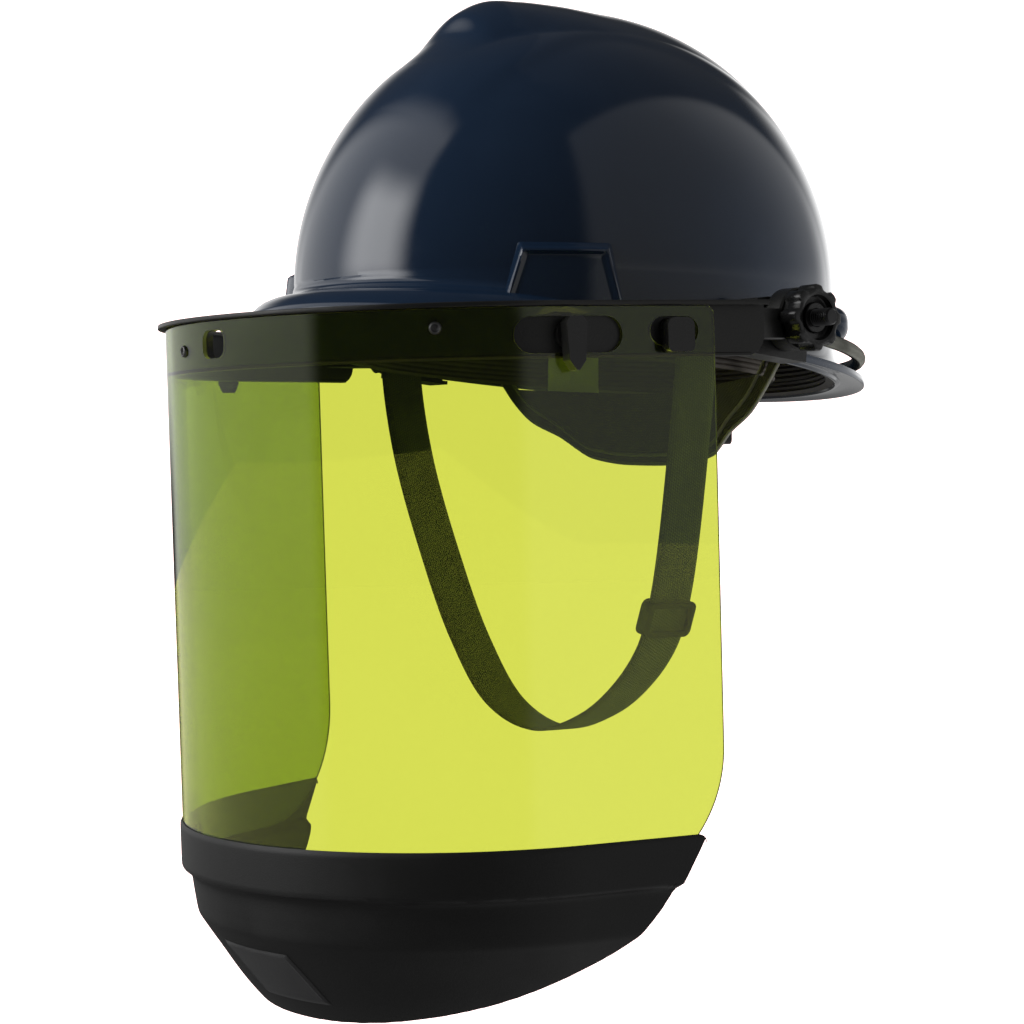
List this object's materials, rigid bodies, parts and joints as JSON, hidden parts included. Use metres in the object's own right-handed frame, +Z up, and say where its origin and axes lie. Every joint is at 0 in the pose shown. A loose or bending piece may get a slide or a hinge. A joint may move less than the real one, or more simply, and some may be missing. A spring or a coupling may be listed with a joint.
{
  "type": "arc flash face shield",
  "caption": "Hard hat with a lift-up bracket that carries a wrap-round tinted visor and a chin cup, with headband, crown straps, nape strap and chin strap inside.",
  "frame": {"origin": "middle of the headband at brow height, where the hat sits on the head", "axes": "+Z up through the crown, -Y the way the wearer faces, +X to the wearer's left"},
  "size_m": [0.294, 0.3245, 0.4099],
  "materials": {
    "shell": "glossy moulded",
    "black_plastic": "satin moulded",
    "cup": "matt moulded",
    "headband": "matt ribbed",
    "pale_tab": "matt",
    "webbing": "woven",
    "steel": "brushed",
    "tint": "clear tinted"
  },
  "bodies": {
    "hat": {"hat_shell": "shell", "headband": "headband", "nape_strap": "webbing", "nape_slide": "black_plastic", "crown_strap_1": "webbing", "crown_strap_2": "webbing", "hanger_key_1": "black_plastic", "hanger_key_2": "black_plastic", "hanger_key_3": "black_plastic", "hanger_key_4": "black_plastic", "liner_tab": "pale_tab", "chin_strap": "webbing", "strap_buckle": "black_plastic", "pivot_base_left": "black_plastic", "pivot_base_right": "black_plastic", "pivot_bolt_left": "steel", "pivot_bolt_right": "steel", "retaining_spring": "steel"},
    "shield": {"bracket_band": "black_plastic", "visor": "tint", "stud_left": "black_plastic", "stud_right": "black_plastic", "rivet_front": "steel", "rivet_left": "steel", "rivet_right": "steel", "chin_cup": "cup", "cup_panel": "black_plastic", "cup_rivet_left": "steel", "cup_rivet_right": "steel"},
    "left_knob": {"knob_left": "black_plastic"},
    "right_knob": {"knob_right": "black_plastic"},
    "left_lever": {"turn_lever_left": "black_plastic"},
    "right_lever": {"turn_lever_right": "black_plastic"}
  },
  "joints": [
    {"name": "visor_lift", "type": "hinge", "parent": "hat", "child": "shield", "pos_m": [0, 0.0075, 0.009], "axis": [-1, 0, 0], "range_deg": [0, 90]},
    {"name": "left_knob_turn", "type": "hinge", "parent": "hat", "child": "left_knob", "pos_m": [0.1355, 0.0075, 0.009], "axis": [1, 0, 0], "continuous": true},
    {"name": "right_knob_turn", "type": "hinge", "parent": "hat", "child": "right_knob", "pos_m": [-0.1355, 0.0075, 0.009], "axis": [-1, 0, 0], "continuous": true},
    {"name": "left_lever_turn", "type": "hinge", "parent": "shield", "child": "left_lever", "pos_m": [0.11309, -0.09697, -0.0008], "axis": [0.9528, -0.3035, -0.011], "range_deg": [0, 90]},
    {"name": "right_lever_turn", "type": "hinge", "parent": "shield", "child": "right_lever", "pos_m": [-0.11309, -0.09697, -0.0008], "axis": [-0.9528, -0.3035, -0.011], "range_deg": [-90, 0]}
  ]
}
